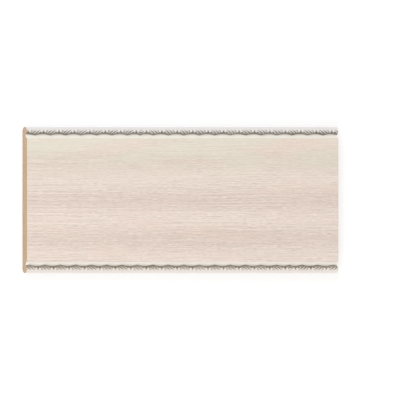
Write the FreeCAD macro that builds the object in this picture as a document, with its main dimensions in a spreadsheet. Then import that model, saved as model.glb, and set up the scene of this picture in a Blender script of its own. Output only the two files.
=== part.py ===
import FreeCAD, Part
import math
import os
import Sketcher

# Decorative wall moulding: one extruded strip of stiff foam, with a flat field, a round
# bead along each long edge, and a narrow groove between each bead and the field.
# X runs along the strip, Y across it, and Z from its back up to its face.
# The origin is the middle of the back.

doc = FreeCAD.newDocument("decorative_panel")

# Driving sizes, in millimetres
sheet = doc.addObject("Spreadsheet::Sheet", "Sizes")
sizes = {
    "panel_length": (250.0, "cut length along X"),
    "panel_width": (100.0, "over both beads"),
    "panel_thickness": (6.0, "back to face, which is also the diameter of a bead"),
    "groove_depth": (1.8, "face down to the groove's floor"),
    "floor_radius": (0.3, "round floor of the groove"),
    "slope_angle": (38.0, "rise of the groove's field side, in degrees"),
    "shoulder_radius": (2.5, "round between the groove's slope and the field"),
}
for row, (alias, (value, note)) in enumerate(sizes.items(), start=1):
    sheet.set(f"A{row}", alias)
    sheet.set(f"B{row}", str(value))
    sheet.set(f"C{row}", note)
    sheet.setAlias(f"B{row}", alias)
doc.recompute()

# The points of a piece of geometry that a constraint can hold
START, END, CENTRE = 1, 2, 3
ORIGIN = (-1, START)


def origin_plane(body, role):
    """The body's own plane with this role."""
    return next(o for o in body.Origin.OriginFeatures if o.Role == role)


def arc(centre, radius, start, end):
    """The arc about a centre that runs anticlockwise from one angle to another."""
    circle = Part.Circle(centre, FreeCAD.Vector(0, 0, 1), radius)
    return Part.ArcOfCircle(circle, start, end)


def draw_half_section(sketch):
    """Half of the moulding's section, from its middle out to the +Y bead.

    The curves are drawn where the sizes put them, and the constraints then tie them to
    the sheet.
    """
    thickness = sheet.panel_thickness
    bead = thickness / 2
    floor = sheet.floor_radius
    shoulder = sheet.shoulder_radius
    slope_angle = math.radians(sheet.slope_angle)

    # The floor's arc touches the bead from outside, on the line between their centres
    bead_centre = FreeCAD.Vector(sheet.panel_width / 2 - bead, bead, 0)
    floor_rise = thickness - sheet.groove_depth + floor - bead
    floor_reach = math.sqrt((bead + floor) ** 2 - floor_rise ** 2)
    floor_centre = bead_centre + FreeCAD.Vector(-floor_reach, floor_rise, 0)
    bead_end = math.atan2(floor_rise, -floor_reach)

    # The slope leaves the floor's arc, and the shoulder's arc turns it level with the face
    outward = FreeCAD.Vector(math.sin(slope_angle), math.cos(slope_angle), 0)
    uphill = FreeCAD.Vector(-math.cos(slope_angle), math.sin(slope_angle), 0)
    slope_foot = floor_centre - outward * floor
    slope_rise = thickness - shoulder * (1 - math.cos(slope_angle)) - slope_foot.y
    slope_top = slope_foot + uphill * (slope_rise / math.sin(slope_angle))
    shoulder_centre = slope_top - outward * shoulder
    facing = math.atan2(outward.y, outward.x)

    middle_top = FreeCAD.Vector(0, thickness, 0)
    middle_back = FreeCAD.Vector(0, 0, 0)
    bead_back = FreeCAD.Vector(bead_centre.x, 0, 0)
    field_end = FreeCAD.Vector(shoulder_centre.x, thickness, 0)
    quarter = math.pi / 2

    back = sketch.addGeometry(Part.LineSegment(middle_back, bead_back), False)
    round_bead = sketch.addGeometry(arc(bead_centre, bead, -quarter, bead_end), False)
    groove_floor = sketch.addGeometry(
        arc(floor_centre, floor, facing - math.pi, bead_end - math.pi), False
    )
    slope = sketch.addGeometry(Part.LineSegment(slope_foot, slope_top), False)
    round_shoulder = sketch.addGeometry(arc(shoulder_centre, shoulder, facing, quarter), False)
    field = sketch.addGeometry(Part.LineSegment(field_end, middle_top), False)
    middle = sketch.addGeometry(Part.LineSegment(middle_top, middle_back), False)

    sketch.addConstraint([
        Sketcher.Constraint("Coincident", back, START, *ORIGIN),
        Sketcher.Constraint("Horizontal", back),
        Sketcher.Constraint("Tangent", back, END, round_bead, START),
        Sketcher.Constraint("Tangent", round_bead, END, groove_floor, END),
        Sketcher.Constraint("Tangent", groove_floor, START, slope, START),
        Sketcher.Constraint("Tangent", slope, END, round_shoulder, START),
        Sketcher.Constraint("Tangent", round_shoulder, END, field, START),
        Sketcher.Constraint("Horizontal", field),
        Sketcher.Constraint("Coincident", field, END, middle, START),
        Sketcher.Constraint("Vertical", middle),
        Sketcher.Constraint("Coincident", middle, END, back, START),
    ])

    bound = {
        "thickness": (
            Sketcher.Constraint("DistanceY", middle, END, middle, START, thickness),
            "Sizes.panel_thickness",
        ),
        "bead_radius": (
            Sketcher.Constraint("Radius", round_bead, bead),
            "Sizes.panel_thickness / 2",
        ),
        "bead_place": (
            Sketcher.Constraint("DistanceX", *ORIGIN, round_bead, CENTRE, bead_centre.x),
            "Sizes.panel_width / 2 - Sizes.panel_thickness / 2",
        ),
        "floor_radius": (
            Sketcher.Constraint("Radius", groove_floor, floor),
            "Sizes.floor_radius",
        ),
        "floor_height": (
            Sketcher.Constraint("DistanceY", *ORIGIN, groove_floor, CENTRE, floor_centre.y),
            "Sizes.panel_thickness - Sizes.groove_depth + Sizes.floor_radius",
        ),
        "shoulder_radius": (
            Sketcher.Constraint("Radius", round_shoulder, shoulder),
            "Sizes.shoulder_radius",
        ),
        "slope_angle": (
            Sketcher.Constraint("Angle", slope, math.pi - slope_angle),
            "180 deg - Sizes.slope_angle * 1 deg",
        ),
    }
    for name, (constraint, expression) in bound.items():
        index = sketch.addConstraint(constraint)
        sketch.renameConstraint(index, name)
        sketch.setExpression(f"Constraints.{name}", expression)


def make_panel():
    """The whole moulding: half of its section drawn out along X, and mirrored."""
    body = doc.addObject("PartDesign::Body", "Panel")
    body.Label = "panel"

    section = body.newObject("Sketcher::SketchObject", "HalfSection")
    section.AttachmentSupport = (origin_plane(body, "YZ_Plane"), [""])
    section.MapMode = "FlatFace"
    draw_half_section(section)

    half = body.newObject("PartDesign::Pad", "HalfMoulding")
    half.Profile = section
    half.SideType = "Symmetric"
    half.setExpression("Length", "Sizes.panel_length")
    doc.recompute()

    whole = body.newObject("PartDesign::Mirrored", "WholeMoulding")
    whole.Originals = [half]
    whole.MirrorPlane = (origin_plane(body, "XZ_Plane"), [""])
    whole.Refine = True
    body.Tip = whole
    return body


nodes = [make_panel()]
doc.recompute()

failed = [o.Name for o in doc.Objects if "Invalid" in o.State or "Error" in o.State]
if failed:
    raise RuntimeError(f"these failed to recompute: {', '.join(failed)}")

os.makedirs("parts", exist_ok=True)
for node in nodes:
    if node.Shape.isNull() or not node.Shape.isValid():
        raise RuntimeError(f"{node.Label} has no valid shape")
    print(f"{node.Label}: {len(node.Shape.Solids)} solid, {node.Shape.Volume:.1f} cubic mm")
    node.Shape.exportStep(f"parts/{node.Label}.step")
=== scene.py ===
import bpy
import math
import numpy as np
from mathutils import Matrix, Vector


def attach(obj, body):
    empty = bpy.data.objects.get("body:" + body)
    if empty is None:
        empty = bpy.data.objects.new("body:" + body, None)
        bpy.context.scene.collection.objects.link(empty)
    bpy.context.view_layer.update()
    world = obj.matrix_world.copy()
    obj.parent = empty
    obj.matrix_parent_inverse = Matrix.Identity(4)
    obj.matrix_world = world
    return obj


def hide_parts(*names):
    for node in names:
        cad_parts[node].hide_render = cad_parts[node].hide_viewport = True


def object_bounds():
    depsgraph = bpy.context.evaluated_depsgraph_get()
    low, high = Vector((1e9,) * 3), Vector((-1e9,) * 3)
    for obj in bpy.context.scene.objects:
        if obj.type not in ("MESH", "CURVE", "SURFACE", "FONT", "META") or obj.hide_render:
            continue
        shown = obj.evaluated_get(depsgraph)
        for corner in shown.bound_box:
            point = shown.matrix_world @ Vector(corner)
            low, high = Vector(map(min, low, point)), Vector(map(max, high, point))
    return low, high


# A short length of wall moulding: a pale wood-print face, an ornamented silver bead along
# each long edge, and tan foam on the cut ends and the back. X runs along it, +Z faces out.

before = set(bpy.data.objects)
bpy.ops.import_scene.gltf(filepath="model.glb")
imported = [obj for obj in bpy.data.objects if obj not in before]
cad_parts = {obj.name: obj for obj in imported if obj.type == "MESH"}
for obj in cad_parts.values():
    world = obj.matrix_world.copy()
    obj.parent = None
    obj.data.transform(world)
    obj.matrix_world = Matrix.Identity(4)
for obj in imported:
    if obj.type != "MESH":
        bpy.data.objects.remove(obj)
mm = 0.001
degree = math.pi / 180
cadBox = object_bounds()
boxLow, boxHigh = np.array(cadBox[0]), np.array(cadBox[1])
length, width, thickness = (boxHigh - boxLow).tolist()
print("frame loaded:", [round(size / mm, 2) for size in (length, width, thickness)], "mm")

# The section beside the groove has the solid's own sizes
section = {
    "grooveDepth": 1.8 * mm,
    "floorRadius": 0.3 * mm,
    "slopeAngle": 38 * degree,
    "shoulderRadius": 2.5 * mm,
    "columnStep": 0.236 * mm,  # mesh spacing along the moulding
    "outerSteps": 12,  # mesh strips from the back round to the ornament
    "ornamentSteps": 26,
    "floorSteps": 3,
    "floorCut": 0.2,  # the first share of the floor, which is cut as deep as the bead's foot
    "silverFloorSteps": 1,  # how many of the floor's strips the silver covers, with its wax and painted shade
    "slopeSteps": 2,
    "shoulderSteps": 3,
}

# The ornament pressed into each bead: leaves of leaning ribs, parted by a knot of two pearls.
# Angles are round the bead, from its crown, positive down towards the groove.
ornament = {
    "unit": 12.41 * mm,  # from knot to knot
    "turnUnit": 8.2 * mm,  # the short unit where the ribs change their lean
    "turnAt": {1: -33.0 * mm, -1: 86.8 * mm},  # its middle, on the +Y and on the -Y bead
    "start": -40 * degree,
    "startRun": 16 * degree,  # the turn over which the ground reaches its depth
    "reliefDepth": 0.5 * mm,
    "footDepth": 0.85 * mm,  # beside the groove at a knot, and none at a unit's middle
    "footAngles": (24 * degree, 60 * degree),  # between which the ground becomes the wave
    "waveShare": 0.4,  # the lower, the narrower the wave's shallow part
    "leafHalf": 4.1 * mm,
    "leafOut": -40 * degree,
    "leafIn": 52 * degree,
    "leafEdge": (0.78, 1.12),  # where a leaf fades out, as a share of its half sizes
    "ribPitch": 2.77 * mm,  # along X
    "ribLean": 1.41,  # the run along X for each step across
    "ribMiddle": 8 * degree,  # where the middle rib crosses the leaf's own middle
    "valleyHeight": 0.05,  # heights are shares of the relief's depth
    "ribHeight": 0.92,  # above its valley
    "pearlAt": 1.45 * mm,  # from the knot
    "pearlHalf": 1.35 * mm,
    "pearlMiddle": -6 * degree,
    "pearlReach": 36 * degree,
    "pearlEdge": (0.3, 1.1),  # from its top to its rim, as a share of its half sizes
    "pearlHeight": 0.95,
    "knotHalf": 0.55 * mm,
    "knotDepth": 0.15 * mm,
}

# The dark wax and painted shade, as shares of a full coat: wax is patina in the cuts, and the
# coat that grows round each bead towards the groove is painted shade of the groove side
waxAndShadeCoat = {
    "cutDepth": (0.1 * mm, 0.4 * mm),  # from what counts as a ridge to what counts as a cut
    "cutShare": 0.98,
    "cutAngles": (-32 * degree, 16 * degree),  # between which the cuts' coat comes in, darker towards the groove as painted shade
    "thinShare": 0.16,  # what is rubbed off the cuts again
    "thinAngles": (10 * degree, 30 * degree),
    # painted shade: a coat on the ridges as well, which grows round the bead towards the groove
    "ridgeShare": 0.86,
    "ridgeAngles": (-2 * degree, 50 * degree),
}


def smoothStep(start, end, value):
    # 0 before the start, 1 after the end, and a smooth S between
    share = np.clip((value - start) / (end - start), 0, 1)
    return share * share * (3 - 2 * share)


def arcRows(centre, radius, start, end, steps, bulge=1):
    # Points round an arc after its first, whose normals point from its centre, or to it (-1)
    angle = np.linspace(start, end, steps + 1)[1:]
    facing = np.stack([np.cos(angle), np.sin(angle)], -1)
    return centre + radius * facing, bulge * facing, angle


def halfSection():
    # Half of the section, from the back round the bead, down into the groove, up its slope
    # and over the shoulder to the field: for each row its place (out, up), its normal, its
    # angle from the bead's crown, and the share of the ornament's cut that reaches it. The
    # groove's floor is cut the way that the bead's own foot is.
    s = section
    radius, floor, tilt = thickness / 2, s["floorRadius"], s["slopeAngle"]
    quarter = math.pi / 2
    bead = np.array([width / 2 - radius, radius])
    rise = thickness - s["grooveDepth"] + floor - radius
    reach = math.sqrt((radius + floor) ** 2 - rise ** 2)
    beadEnd = math.atan2(rise, -reach)
    ornamentStart = quarter + ornament["start"]

    first = (np.array([bead - [0, radius]]), np.array([[0.0, -1.0]]), np.array([-quarter]))
    outer = arcRows(bead, radius, -quarter, ornamentStart, s["outerSteps"])
    carved = arcRows(bead, radius, ornamentStart, beadEnd, s["ornamentSteps"])
    hollow = arcRows(
        bead + [-reach, rise], floor, beadEnd - math.pi, -quarter - tilt, s["floorSteps"], -1
    )
    outward = np.array([math.sin(tilt), math.cos(tilt)])
    uphill = np.array([-math.cos(tilt), math.sin(tilt)])
    foot = hollow[0][-1]
    top = thickness - s["shoulderRadius"] * (1 - math.cos(tilt))
    run = (top - foot[1]) / math.sin(tilt) * np.linspace(0, 1, s["slopeSteps"] + 1)[1:, None]
    slope = (foot + run * uphill, np.repeat(outward[None], len(run), 0))
    shoulder = arcRows(
        slope[0][-1] - s["shoulderRadius"] * outward,
        s["shoulderRadius"], quarter - tilt, quarter, s["shoulderSteps"],
    )

    beadAngle = np.concatenate([first[2], outer[2], carved[2]]) - quarter
    parts = [first, outer, carved, hollow, slope, shoulder]
    place = np.concatenate([part[0] for part in parts])
    normal = np.concatenate([part[1] for part in parts])
    beadRows = len(beadAngle)
    past = len(place) - beadRows
    crownAngle = np.concatenate([beadAngle, np.full(past, beadAngle[-1])])
    normal[beadRows:] = normal[beadRows - 1]
    floorShare = np.arange(1, s["floorSteps"] + 1) / s["floorSteps"]
    reached = np.ones(len(place))
    reached[beadRows:] = 0
    reached[beadRows:beadRows + s["floorSteps"]] = 1 - smoothStep(s["floorCut"], 1, floorShare)
    return place, normal, crownAngle, reached, beadRows


def unitPlace(x, side):
    # Where x lies in the ornament: its distance from its unit's middle, half of that unit's
    # length, and which way the ribs lean, which changes in the short turning unit
    fromTurn = x - ornament["turnAt"][side]
    hand = np.where(fromTurn < 0, -1.0, 1.0)
    beyond = np.abs(fromTurn) - ornament["turnUnit"] / 2
    turning = beyond < 0
    middle = (np.floor(beyond / ornament["unit"]) + 0.5) * ornament["unit"]
    along = np.where(turning, fromTurn, hand * (beyond - middle))
    half = np.where(turning, ornament["turnUnit"], ornament["unit"]) / 2
    lean = np.where(turning, hand, -hand)
    return along, half, lean


def ornamentCut(x, crownAngle, side):
    # How deep the bead is cut. A level ground, reached by a smooth step, turns by another one
    # into a wave along the unit: a cosine w, 0 at the unit's middle and 1 at its knots, drawn
    # out there as w / (w + share * (1 - w)). On the ground stand the leaf, an oval whose ribs
    # are a cosine along a leaning line, and the knot's pearls, ovals that fall off from their
    # middle by a smooth step. The knot itself is a notch between smooth steps.
    o = ornament
    along, half, lean = unitPlace(x[:, None], side)
    angle = crownAngle[None, :]

    ground = o["reliefDepth"] * smoothStep(o["start"], o["start"] + o["startRun"], angle)
    wave = 0.5 - 0.5 * np.cos(math.pi * along / half)
    wave = wave / (wave + o["waveShare"] * (1 - wave))
    inward = smoothStep(*o["footAngles"], angle)

    middle = (o["leafOut"] + o["leafIn"]) / 2
    spread = (o["leafIn"] - o["leafOut"]) / 2
    leafHalf = o["leafHalf"] * half / (o["unit"] / 2)
    fromLeaf = np.hypot(along / leafHalf, (angle - middle) / spread)
    leaf = 1 - smoothStep(*o["leafEdge"], fromLeaf)
    across = thickness / 2 * (math.sin(o["ribMiddle"]) - np.sin(angle))
    turns = (along - lean * o["ribLean"] * across) / o["ribPitch"]
    rib = 0.5 + 0.5 * np.cos(2 * math.pi * turns)

    toKnot = half - np.abs(along)
    fromPearl = np.hypot(
        (toKnot - o["pearlAt"]) / o["pearlHalf"], (angle - o["pearlMiddle"]) / o["pearlReach"]
    )
    pearl = 1 - smoothStep(*o["pearlEdge"], fromPearl)
    notch = (1 - smoothStep(0, o["knotHalf"], toKnot)) * smoothStep(o["start"], 0, angle)

    ribs = leaf * (o["valleyHeight"] + o["ribHeight"] * rib)
    standing = np.maximum(ribs, o["pearlHeight"] * pearl)
    level = ground * (1 - standing) + o["knotDepth"] * notch
    return level * (1 - inward) + o["footDepth"] * wave * inward


def waxAndShadeOf(cut, crownAngle):
    # How much dark wax and painted shade lies on the bead. The cuts' share and the ridges' share
    # each come in by a smooth step round towards the groove, which is painted shade of the groove
    # side, and a smooth step of the depth joins them, so that the cuts hold the wax.
    w = waxAndShadeCoat
    deep = smoothStep(*w["cutDepth"], cut)
    thinner = w["thinShare"] * smoothStep(*w["thinAngles"], crownAngle)
    inCuts = w["cutShare"] * smoothStep(*w["cutAngles"], crownAngle) - thinner
    onRidges = w["ridgeShare"] * smoothStep(*w["ridgeAngles"], crownAngle)
    return onRidges + (inCuts - onRidges) * deep


def mouldingGrid():
    # The section carried along X, cut inwards by the ornament, with the -Y half mirrored, so
    # a row runs from the back round the +Y bead, over the field and round the -Y bead
    place, normal, crownAngle, reached, beadRows = halfSection()
    x = np.linspace(boxLow[0], boxHigh[0], int(round(length / section["columnStep"])) + 1)
    halves = []
    for side in (1, -1):
        cut = ornamentCut(x, crownAngle, side) * reached
        moved = place[None] - cut[:, :, None] * normal[None]
        halves.append((side * moved[..., 0], moved[..., 1], cut, waxAndShadeOf(cut, crownAngle)))
    y, z, cut, waxAndShade = [np.concatenate([a, b[:, ::-1]], 1) for a, b in zip(*halves)]
    points = np.stack([np.broadcast_to(x[:, None], y.shape), y, z + boxLow[2]], -1)
    # a painted highlight along the groove's side, fading out towards the field
    slopeHighlight = 1 - smoothStep(printLook["highlightFrom"], printLook["highlightTo"], width / 2 - np.abs(y[0]))
    return points, cut, {"waxAndShade": waxAndShade, "slopeHighlight": np.tile(slopeHighlight, (len(x), 1))}, beadRows


# The map that unrolls the moulding, in shares of the map's side
unrolled = {
    "room": (1.0, 3.0, 0.3),  # for the print, the silver and the back, by their real sizes
    "sectionTop": 0.93,  # the section goes up to here, and the two cut ends lie above
    "endGap": 0.03,
    "endSide": 0.48,
    "endStarts": (0.51, 0.01),  # of the +X end and of the -X end
}


def unrolledMap(mesh, points, strip, order):
    # The moulding's length goes to the right, and its section upwards
    m = unrolled
    ring = np.concatenate([points[0], points[0][:1]])
    steps = np.linalg.norm(np.diff(ring, axis=0), axis=1) * np.array(m["room"])[strip]
    v = np.concatenate([[0], np.cumsum(steps)]) / steps.sum() * m["sectionTop"]
    u = np.linspace(0, 1, len(points))
    i, j = np.indices((len(points) - 1, len(strip)))
    corners = [(u[i], v[j]), (u[i], v[j + 1]), (u[i + 1], v[j + 1]), (u[i + 1], v[j])]
    sides = np.stack([np.stack(corner, -1) for corner in corners], 2)
    sides = np.take_along_axis(sides.reshape(-1, 4, 2), order[:, :, None], 1).reshape(-1, 2)
    ends = []
    for end, start in zip((points[-1], points[0][::-1]), m["endStarts"]):
        endU = start + m["endSide"] * (end[:, 1] / width + 0.5)
        endV = m["sectionTop"] + m["endGap"] + m["endSide"] * end[:, 2] / width
        ends.append(np.stack([endU, endV], -1))
    layer = mesh.uv_layers.new(name="OFBake")
    layer.uv.foreach_set("vector", np.concatenate([sides] + ends).astype(np.float32).ravel())


def makeMoulding(finishes):
    points, cut, attributes, beadRows = mouldingGrid()
    columns, rows = points.shape[:2]

    # The finish of the strip after each row: 0 face print, 1 silver, 2 foam back
    silver = beadRows - 1 + section["silverFloorSteps"]
    strip = np.zeros(rows, np.int32)
    strip[:silver] = 1
    strip[rows - 1 - silver:] = 1
    strip[-1] = 2

    # Each face starts at the corner whose diagonal is the more level, so it folds along a rib
    i, j = np.indices((columns - 1, rows))
    after = (j + 1) % rows
    quads = np.stack(
        [i * rows + j, i * rows + after, (i + 1) * rows + after, (i + 1) * rows + j], -1
    ).reshape(-1, 4)
    depth = cut.ravel()[quads]
    other = np.abs(depth[:, 1] - depth[:, 3]) < np.abs(depth[:, 0] - depth[:, 2])
    order = np.where(other[:, None], [1, 2, 3, 0], [0, 1, 2, 3])
    quads = np.take_along_axis(quads, order, 1)
    ends = [(np.arange(rows) + (columns - 1) * rows).tolist(), np.arange(rows)[::-1].tolist()]
    mesh = bpy.data.meshes.new("moulding")
    mesh.from_pydata(points.reshape(-1, 3), [], quads.tolist() + ends)
    mesh.polygons.foreach_set("material_index", np.append(np.tile(strip, columns - 1), [3, 3]))
    mesh.polygons.foreach_set("use_smooth", np.append(np.ones(len(quads), bool), [False, False]))
    for name, values in attributes.items():
        layer = mesh.attributes.new(name, "FLOAT", "POINT")
        layer.data.foreach_set("value", values.astype(np.float32).ravel())
    unrolledMap(mesh, points, strip, order)
    mesh.update()
    for finish in finishes:
        mesh.materials.append(finish)
    piece = bpy.data.objects.new("moulding", mesh)
    bpy.context.scene.collection.objects.link(piece)
    print("moulding:", len(mesh.vertices), "points,", len(mesh.polygons), "faces")
    return piece


class Tone:  # one output socket: sums and products of it become Math nodes
    def __init__(self, recipe, socket):
        self.recipe = recipe
        self.socket = socket

    def output(self, name):
        return Tone(self.recipe, self.socket.node.outputs[name])

    def __add__(self, other):
        return self.recipe.maths("ADD", self, other)

    def __sub__(self, other):
        return self.recipe.maths("SUBTRACT", self, other)

    def __rsub__(self, other):
        return self.recipe.maths("SUBTRACT", other, self)

    def __mul__(self, other):
        return self.recipe.maths("MULTIPLY", self, other)

    __radd__ = __add__
    __rmul__ = __mul__


class Recipe:  # the nodes of one material, or of the world
    def __init__(self, owner):
        owner.use_nodes = True
        self.owner = owner
        self.tree = owner.node_tree
        self.tree.nodes.clear()

    def node(self, kind, settings=None, sockets=None, output=0):
        made = self.tree.nodes.new(kind)
        for name, value in (settings or {}).items():
            setattr(made, name, value)
        for name, value in (sockets or {}).items():
            if isinstance(value, Tone):
                self.tree.links.new(value.socket, made.inputs[name])
            else:
                made.inputs[name].default_value = value
        return Tone(self, made.outputs[output]) if made.outputs else None

    def maths(self, operation, *values, clamp=False):
        settings = {"operation": operation, "use_clamp": clamp}
        return self.node("ShaderNodeMath", settings, dict(enumerate(values)))

    def clamped(self, value):
        return self.maths("ADD", value, 0.0, clamp=True)

    def attribute(self, name):
        return self.node("ShaderNodeAttribute", {"attribute_name": name}, output="Fac")

    def noise(self, cell, shift=0.0, detail=2.0, rough=0.5, spot=None):
        # Noise about 0, whose cells have this size along X, Y and Z. The shift picks a part
        # of it of its own, so that no two patterns match.
        spot = spot or self.node("ShaderNodeTexCoord", output="Object")
        spot = self.node("ShaderNodeMapping", {}, {
            "Vector": spot,
            "Scale": [1 / size for size in cell],
            "Location": (shift, 1.7 * shift, 2.3 * shift),
        })
        sockets = {"Vector": spot, "Scale": 1.0, "Detail": detail, "Roughness": rough}
        return self.node("ShaderNodeTexNoise", {}, sockets) - 0.5

    def across(self):
        # The place across the moulding, in metres
        spot = self.node("ShaderNodeTexCoord", output="Object")
        return self.node("ShaderNodeSeparateXYZ", {}, {0: spot}, output="Y")

    def swayed(self, sway):
        # The place on the piece, moved across it by this much
        spot = self.node("ShaderNodeTexCoord", output="Object")
        aside = self.node("ShaderNodeCombineXYZ", {}, {"Y": sway})
        return self.node("ShaderNodeVectorMath", {"operation": "ADD"}, {0: spot, 1: aside})

    def step(self, value, start, end):
        sockets = {"Value": value, "From Min": start, "From Max": end}
        return self.node("ShaderNodeMapRange", {"interpolation_type": "SMOOTHSTEP"}, sockets)

    def blend(self, share, first, second):
        settings = {"data_type": "RGBA", "clamp_factor": True}
        return self.node("ShaderNodeMix", settings, {0: share, 6: first, 7: second}, output=2)

    def product(self, first, second):
        return self.node("ShaderNodeVectorMath", {"operation": "MULTIPLY"}, {0: first, 1: second})

    def bump(self, height, depth):
        return self.node("ShaderNodeBump", {}, {"Height": height, "Distance": depth})

    def surface(self, sockets):
        shader = self.node("ShaderNodeBsdfPrincipled", {}, sockets)
        self.node("ShaderNodeOutputMaterial", {}, {"Surface": shader})
        return self.owner


def screen(red, green, blue):
    # A colour as a screen shows it, 0 to 255, in the linear values of a shader
    share = np.array([red, green, blue]) / 255
    linear = np.where(share <= 0.04045, share / 12.92, ((share + 0.055) / 1.055) ** 2.4)
    return (*linear.tolist(), 1.0)


tall = 1.0  # in metres: noise whose cells are this tall is the same at every height here

printLook = {
    "dark": screen(202, 185, 174),
    "light": screen(242, 227, 217),
    "middleShade": 0.52,  # from dark, 0, to light, 1
    "bandPitch": 26.6 * mm,
    "bandShare": 0.13,
    "bandBend": 1.4,
    "bendCell": (180 * mm, 22 * mm, tall),
    "swayCell": (70 * mm, 25 * mm, tall),
    "swayShare": 5 * mm,
    "lineCell": (150 * mm, 0.45 * mm, tall),
    "lineShare": 1.25,
    "streakCell": (16 * mm, 0.4 * mm, tall),
    "streakShare": 1.3,
    "dashCell": (4 * mm, 0.32 * mm, tall),
    "dashShare": 1.5,
    "poreCell": (2.2 * mm, 0.16 * mm, tall),
    "poreLevels": (0.17, 0.27),  # of the noise, between which a pore begins
    "poreShare": 0.25,
    "patchCell": (60 * mm, 14 * mm, tall),
    "warm": screen(232, 202, 189),  # rosy patches
    "warmLevels": (0.02, 0.2),
    "warmShare": 0.2,
    "cool": screen(223, 221, 202),  # greenish tone towards the +Y edge
    "coolReach": (4 * mm, 50 * mm),  # where it begins and is whole, from the middle
    "coolShare": 0.6,
    "coolPatches": 3.0,
    "slope": screen(255, 251, 243),  # painted highlight: the near-white tone of the groove's side and shoulder
    "highlightFrom": 6.9 * mm,  # where that painted highlight fades to the field's tone, from the edge
    "highlightTo": 7.9 * mm,
    "bumpDepth": 0.03 * mm,
    "roughness": 0.5,
    "grainRoughness": 0.08,
    "specular": 0.5,
}


def facePrint():
    # Bleached wood print. Its shade is a middle tone, plus broad bands (a cosine across the
    # moulding, bent by noise), plus long lines, streaks, dashes and pores (noise drawn out
    # along X, which sways). The shade blends a dark and a light tone. A smooth step towards
    # +Y and slow noise make it greener or rosier, and a painted highlight makes the groove's side
    # and shoulder near white.
    p = printLook
    recipe = Recipe(bpy.data.materials.new("facePrint"))
    bend = recipe.noise(p["bendCell"], 3.1)
    turns = recipe.across() * (2 * math.pi / p["bandPitch"])
    bands = recipe.maths("COSINE", turns + bend * p["bandBend"]) * -p["bandShare"]
    spot = recipe.swayed(recipe.noise(p["swayCell"], 7.7) * p["swayShare"])
    lines = recipe.noise(p["lineCell"], 11.3, detail=1.0, spot=spot)
    streaks = recipe.noise(p["streakCell"], 23.9, spot=spot)
    dashes = recipe.noise(p["dashCell"], 33.1, spot=spot)
    pores = recipe.step(recipe.noise(p["poreCell"], 41.7, spot=spot), *p["poreLevels"])
    grain = lines * p["lineShare"] + streaks * p["streakShare"] + dashes * p["dashShare"]
    shade = bands + grain - pores * p["poreShare"] + p["middleShade"]
    tone = recipe.blend(shade, p["dark"], p["light"])
    patches = recipe.noise(p["patchCell"], 57.0, detail=1.0)
    edge = recipe.step(recipe.across(), *p["coolReach"]) * p["coolShare"]
    tone = recipe.blend(recipe.step(patches, *p["warmLevels"]) * p["warmShare"], tone, p["warm"])
    tone = recipe.blend(edge - edge * patches * p["coolPatches"], tone, p["cool"])
    # painted highlight on the groove's side and shoulder
    tone = recipe.blend(recipe.attribute("slopeHighlight"), tone, p["slope"])
    return recipe.surface({
        "Base Color": tone,
        "Roughness": grain * p["grainRoughness"] + p["roughness"],
        "Specular IOR Level": p["specular"],
        "Normal": recipe.bump(grain - pores, p["bumpDepth"]),
    })


silverLook = {
    "silver": (0.86, 0.79, 0.76, 1.0),
    "glazeAndShade": (0.495, 0.443, 0.394, 1.0),  # silver under thin wax and light painted shade
    # the full dark coat: wax in the cuts, and painted shade towards the groove
    "waxAndShade": (0.188, 0.146, 0.101, 1.0),
    "coolLightTint": (0.93, 0.975, 1.0, 1.0),  # painted cool light on the +Y bead
    "warmLightTint": (0.98, 0.98, 0.955, 1.0),  # painted warm light on the -Y bead
    "lightTintReach": (20 * mm, -20 * mm),  # the last of the painted cool light, and the first of the warm
    "rubbedCell": (0.7 * mm, 0.5 * mm, 0.5 * mm),
    "rubbedShare": 0.7,
    "cloudCell": (9 * mm, 4 * mm, 4 * mm),
    "cloudShare": 0.5,
    "hammeredCell": (0.35 * mm, 0.35 * mm, 0.35 * mm),
    "hammeredRoughness": 0.1,
    "metallic": 0.6,
    "waxedMetallic": 0.4,  # what a full coat of wax takes from it
    "roughness": 0.5,
    "waxRoughness": 0.25,
    "bumpDepth": 0.02 * mm,
}


def silverFoil():
    # Silver foil with dark wax rubbed into its cuts, and painted shade on its side towards the
    # groove. That attribute, broken up by noise, blends silver to a warm glaze and then to the
    # dark coat, and takes the metal's shine with it.
    # The tone is multiplied by a tint of painted light, which a smooth step across makes warmer
    # at -Y.
    s = silverLook
    recipe = Recipe(bpy.data.materials.new("silverFoil"))
    rubbed = recipe.noise(s["rubbedCell"], 5.3)
    cloud = recipe.noise(s["cloudCell"], 17.9)
    waxAndShade = recipe.attribute("waxAndShade")
    waxAndShade = recipe.clamped(waxAndShade + waxAndShade * (rubbed * s["rubbedShare"] + cloud * s["cloudShare"]))
    hammered = recipe.noise(s["hammeredCell"], 31.0)
    tone = recipe.blend(waxAndShade * 2, s["silver"], s["glazeAndShade"])
    tone = recipe.blend(waxAndShade * 2 - 1, tone, s["waxAndShade"])
    warmLightShare = recipe.step(recipe.across(), *s["lightTintReach"])
    tint = recipe.blend(warmLightShare, s["coolLightTint"], s["warmLightTint"])
    roughness = waxAndShade * s["waxRoughness"] + hammered * s["hammeredRoughness"] + s["roughness"]
    return recipe.surface({
        "Base Color": recipe.product(tone, tint),
        "Metallic": s["metallic"] - waxAndShade * s["waxedMetallic"],
        "Roughness": roughness,
        "Normal": recipe.bump(hammered, s["bumpDepth"]),
    })


foamTone = {
    "tan": screen(189, 162, 134),
    "dark": screen(162, 133, 104),
    "light": screen(201, 177, 151),
}

endLook = {
    "openCell": (0.15 * mm, 0.15 * mm, 0.15 * mm),
    "openLevels": (0.04, 0.2),  # of the noise, between which an open cell begins
    "openShare": 0.2,
    "openDepth": 0.04 * mm,
    "cloudCell": (8 * mm, 8 * mm, 2 * mm),
    "cloudShare": 1.4,
    "lightShare": 0.1,
    "roughness": 0.75,
    "specular": 0.25,
}


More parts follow.
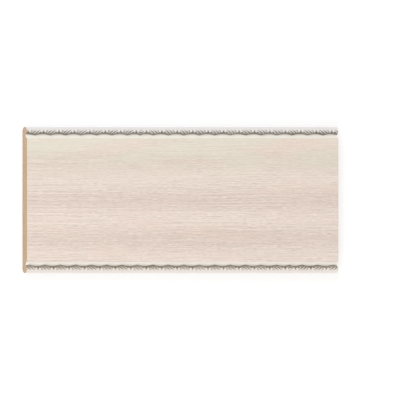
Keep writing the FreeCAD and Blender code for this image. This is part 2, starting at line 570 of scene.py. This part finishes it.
def foamEnd():
    # Sawn foam: fine open cells, which are noise past a smooth step, and a slow change of tone
    f = endLook
    recipe = Recipe(bpy.data.materials.new("foamEnd"))
    cells = recipe.step(recipe.noise(f["openCell"], 2.2), *f["openLevels"])
    cloud = recipe.noise(f["cloudCell"], 9.1)
    share = cloud * f["cloudShare"] + f["lightShare"]
    tone = recipe.blend(share, foamTone["tan"], foamTone["light"])
    tone = recipe.blend(cells * f["openShare"], tone, foamTone["dark"])
    return recipe.surface({
        "Base Color": tone,
        "Roughness": f["roughness"],
        "Specular IOR Level": f["specular"],
        "Normal": recipe.bump(1 - cells, f["openDepth"]),
    })


backLook = {
    "lineCell": (240 * mm, 0.9 * mm, tall),
    "lineShare": 0.8,
    "lineRoughness": 0.2,
    "cloudCell": (45 * mm, 20 * mm, tall),
    "cloudShare": 0.8,
    "lightShare": 0.25,
    "openCell": (0.6 * mm, 0.4 * mm, tall),
    "openLevels": (0.22, 0.32),
    "openShare": 0.5,
    "bumpDepth": 0.05 * mm,
    "roughness": 0.6,
    "specular": 0.3,
}


def foamBack():
    # The foam's drawn skin: faint lines along the moulding, which are noise drawn out along X,
    # slow noise as clouds, and a few open cells, which are noise past a smooth step
    f = backLook
    recipe = Recipe(bpy.data.materials.new("foamBack"))
    lines = recipe.noise(f["lineCell"], 6.6, detail=3.0)
    cloud = recipe.noise(f["cloudCell"], 13.0)
    cells = recipe.step(recipe.noise(f["openCell"], 21.0), *f["openLevels"])
    share = lines * f["lineShare"] + cloud * f["cloudShare"] + f["lightShare"]
    tone = recipe.blend(share, foamTone["tan"], foamTone["light"])
    tone = recipe.blend(cells * f["openShare"], tone, foamTone["dark"])
    return recipe.surface({
        "Base Color": tone,
        "Roughness": lines * f["lineRoughness"] + f["roughness"],
        "Specular IOR Level": f["specular"],
        "Normal": recipe.bump(lines - cells * f["openShare"], f["bumpDepth"]),
    })


# The picture's own pixels: its side, and where the moulding's box starts and ends in it
picture = {"side": 400, "left": 22.5, "right": 338.2, "top": 126.9, "bottom": 273.1}


def makeCamera():
    # A view with no perspective, from above the field and turned towards the -X end, by the
    # angle at which the box's length and thickness together fill the picture's own span
    p = picture
    pixel = width / (p["bottom"] - p["top"])
    span = (p["right"] - p["left"]) * pixel
    tilt = math.atan2(thickness, length) + math.acos(span / math.hypot(thickness, length))
    right = Vector((math.cos(tilt), 0, math.sin(tilt)))
    up = Vector((0, 1, 0))
    back = right.cross(up)
    fromLeft = (p["side"] / 2 - p["left"]) * pixel - length / 2 * math.cos(tilt)
    fromTop = width / 2 - (p["side"] / 2 - p["top"]) * pixel
    data = bpy.data.cameras.new("camera")
    data.type = "ORTHO"
    data.ortho_scale = p["side"] * pixel
    camera = bpy.data.objects.new("camera", data)
    turn = Matrix((right, up, back)).transposed().to_4x4()
    camera.matrix_world = Matrix.Translation(right * fromLeft + up * fromTop + back) @ turn
    bpy.context.scene.collection.objects.link(camera)
    bpy.context.scene.camera = camera
    print("camera tilt", round(math.degrees(tilt), 2), "degrees")


light = {
    "dome": 0.74,  # what the surroundings give to a plain surface
    "lamps": {  # place, size, power and tint
        "upperSide": ((-1.0, 1.6, 0.8), 1.4, 18.8, (0.98, 1.0, 1.0)),
        "lowerSide": ((-1.0, -1.6, 0.8), 1.4, 16.8, (1.0, 0.96, 0.9)),
    },
    "floorReach": 2.5,
    "floorGap": 0.2 * mm,  # the floor lies this far below the back
    "floorPlain": 0.8,  # the floor's own tone, as the moulding sees it
    "floorLit": (0.46, 0.54, 0.62, 1.0),  # what a shadow can take from the floor
    "floorWhite": (0.58, 0.51, 0.44, 1.0),
}


def seenBy(recipe):
    # 1 for what the camera sees, straight or by a reflection, and 0 for plain light
    rays = recipe.node("ShaderNodeLightPath", output="Is Camera Ray")
    return recipe.clamped(
        rays + rays.output("Is Glossy Ray") + rays.output("Is Transmission Ray")
    )


def makeSetting():
    scene = bpy.context.scene
    scene.world = bpy.data.worlds.new("studio")
    recipe = Recipe(scene.world)
    strength = seenBy(recipe) * (1 - light["dome"]) + light["dome"]
    sky = recipe.node("ShaderNodeBackground", {}, {"Color": (1, 1, 1, 1), "Strength": strength})
    recipe.node("ShaderNodeOutputWorld", {}, {"Surface": sky})

    for name, (place, size, power, tint) in light["lamps"].items():
        data = bpy.data.lights.new(name, "AREA")
        data.shape = "DISK"
        data.size = size
        data.energy = power
        data.color = tint
        lamp = bpy.data.objects.new(name, data)
        lamp.location = place
        lamp.visible_glossy = False  # or they would burn out the beads' sides
        lamp.rotation_euler = Vector(place).to_track_quat("Z", "Y").to_euler()
        scene.collection.objects.link(lamp)

    reach = light["floorReach"]
    down = float(boxLow[2]) - light["floorGap"]
    corners = [(x * reach, y * reach, down) for x, y in ((-1, -1), (1, -1), (1, 1), (-1, 1))]
    mesh = bpy.data.meshes.new("floor")
    mesh.from_pydata(corners, [], [(0, 1, 2, 3)])
    floor = bpy.data.objects.new("floor", mesh)
    scene.collection.objects.link(floor)
    recipe = Recipe(bpy.data.materials.new("floor"))
    seen = seenBy(recipe)
    plain = (light["floorPlain"],) * 3 + (1.0,)
    mesh.materials.append(recipe.surface({
        "Base Color": recipe.blend(seen, plain, light["floorLit"]),
        "Emission Color": recipe.blend(seen, (0, 0, 0, 1), light["floorWhite"]),
        "Emission Strength": 1.0,
        "Roughness": 1.0,
        "Specular IOR Level": 0.0,
    }))
    print("setting made")


finishes = [facePrint(), silverFoil(), foamBack(), foamEnd()]
print("finishes made:", [finish.name for finish in finishes])
moulding = makeMoulding(finishes)
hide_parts("panel")
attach(moulding, "root")

makeCamera()
makeSetting()
bpy.context.scene.view_settings.view_transform = "Standard"
